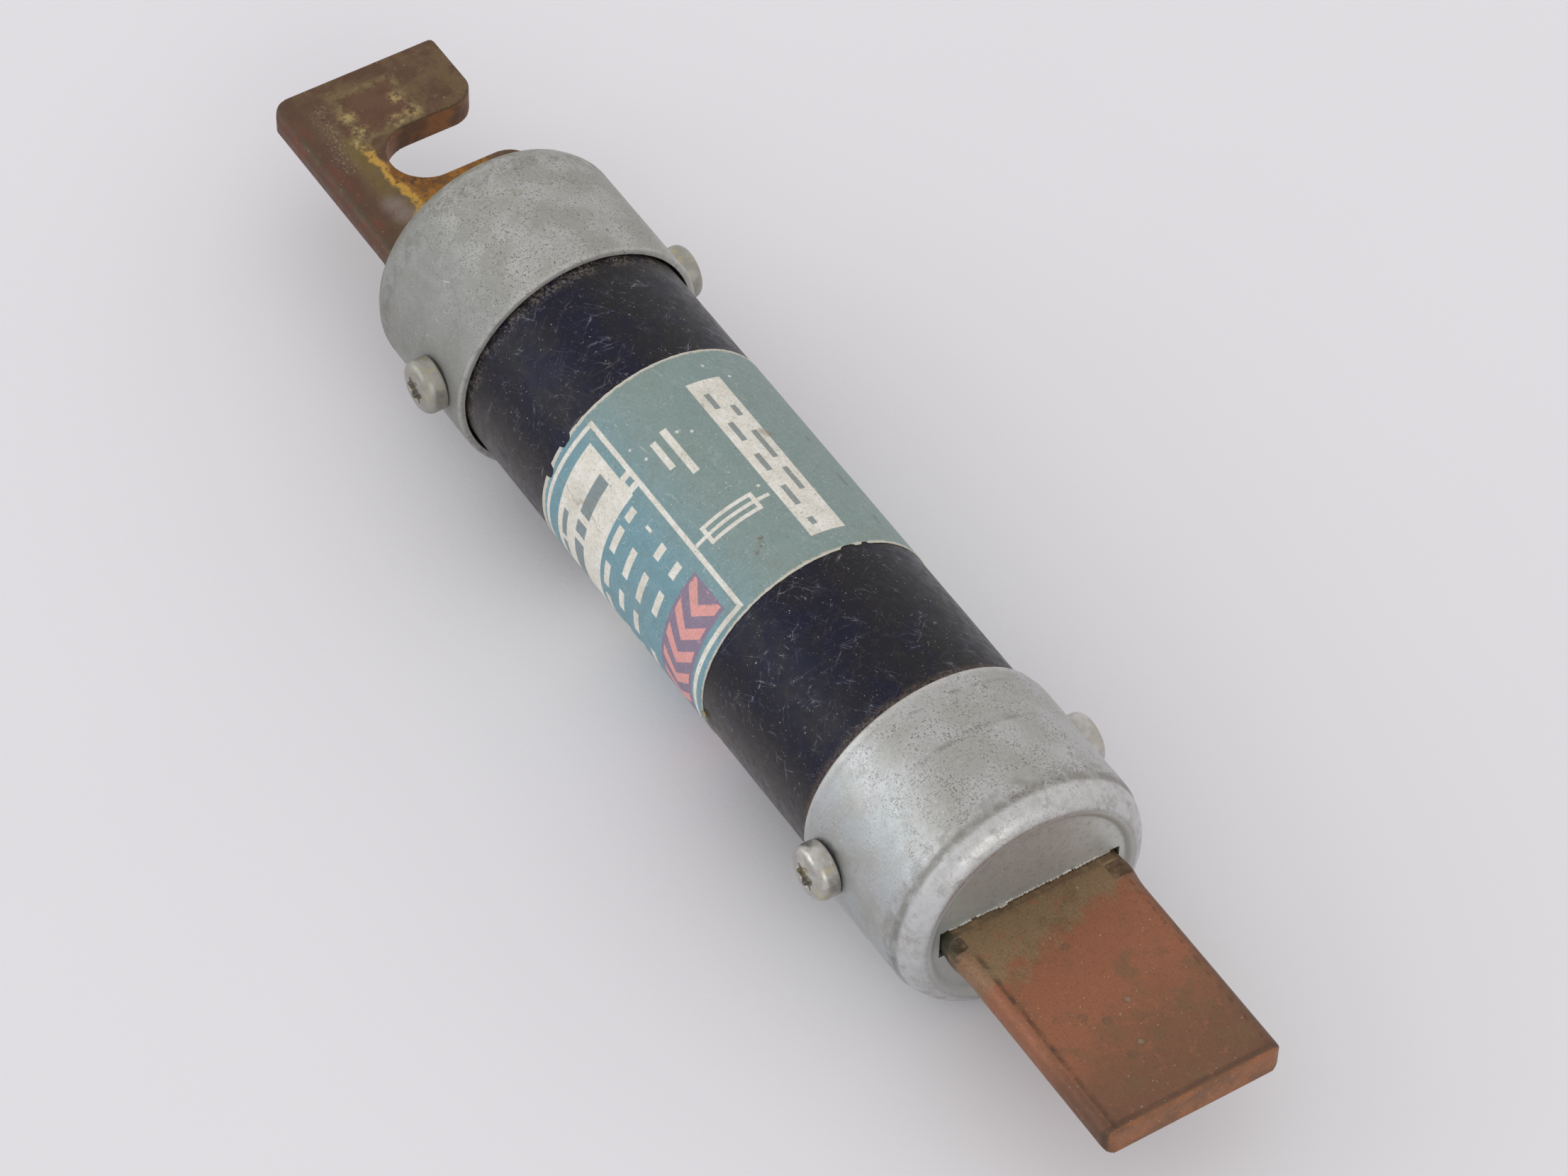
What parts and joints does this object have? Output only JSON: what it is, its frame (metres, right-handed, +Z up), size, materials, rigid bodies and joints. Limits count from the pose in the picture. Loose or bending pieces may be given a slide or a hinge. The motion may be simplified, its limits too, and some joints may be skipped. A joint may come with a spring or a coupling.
{
  "type": "knife-blade cartridge fuse",
  "caption": "Time-delay cartridge fuse: dark fibre tube with a paper label, two drawn metal caps and two flat knife blades, one with a rejection slot.",
  "frame": {"origin": "middle of the fuse's overall length, on the axis of the tube", "axes": "+X along the axis to the plain blade, +Y across the blades out of the rejection slot's mouth, +Z up from the blades' flat faces"},
  "size_m": [0.1492, 0.0318, 0.027],
  "materials": {
    "dark_fibre": "semi-gloss varnished fibre, scuffed",
    "label_paper": "faded matt paper with cream print",
    "dull_zinc": "dull zinc plate, mottled",
    "brown_copper": "tarnished brown copper with ochre corrosion",
    "copper": "satin copper with olive-brown tarnish",
    "screw_steel": "worn zinc-plated steel",
    "pale_fibre": "plain vulcanised fibre",
    "link_copper": "clean rolled copper",
    "quartz_sand": "packed quartz sand",
    "brass": "turned brass",
    "spring_steel": "drawn spring wire",
    "alloy": "dull solder"
  },
  "bodies": {
    "fuse_body": {"fuse_tube": "dark_fibre", "paper_label": "label_paper", "slotted_end_cap": "dull_zinc", "plain_end_cap": "dull_zinc", "slotted_blade": "brown_copper", "plain_blade": "copper", "slotted_end_screws": "screw_steel", "plain_end_screws": "screw_steel", "slotted_end_gasket": "pale_fibre", "plain_end_gasket": "pale_fibre", "slotted_end_link": "link_copper", "plain_end_link": "link_copper", "slotted_end_sand": "quartz_sand", "plain_end_sand": "quartz_sand", "slotted_side_partition": "pale_fibre", "plain_side_partition": "pale_fibre", "overload_chamber": "pale_fibre", "trigger_guide": "brass", "trigger_spring": "spring_steel", "spring_seat": "pale_fibre", "heat_absorber": "link_copper", "fusing_alloy": "alloy"},
    "trigger": {"trigger_plunger": "brass"}
  },
  "joints": [
    {"name": "overload_trigger", "type": "slide", "parent": "fuse_body", "child": "trigger", "axis": [-1, 0, 0], "range_m": [0, 0.0045], "deforming": ["trigger_spring"]}
  ]
}
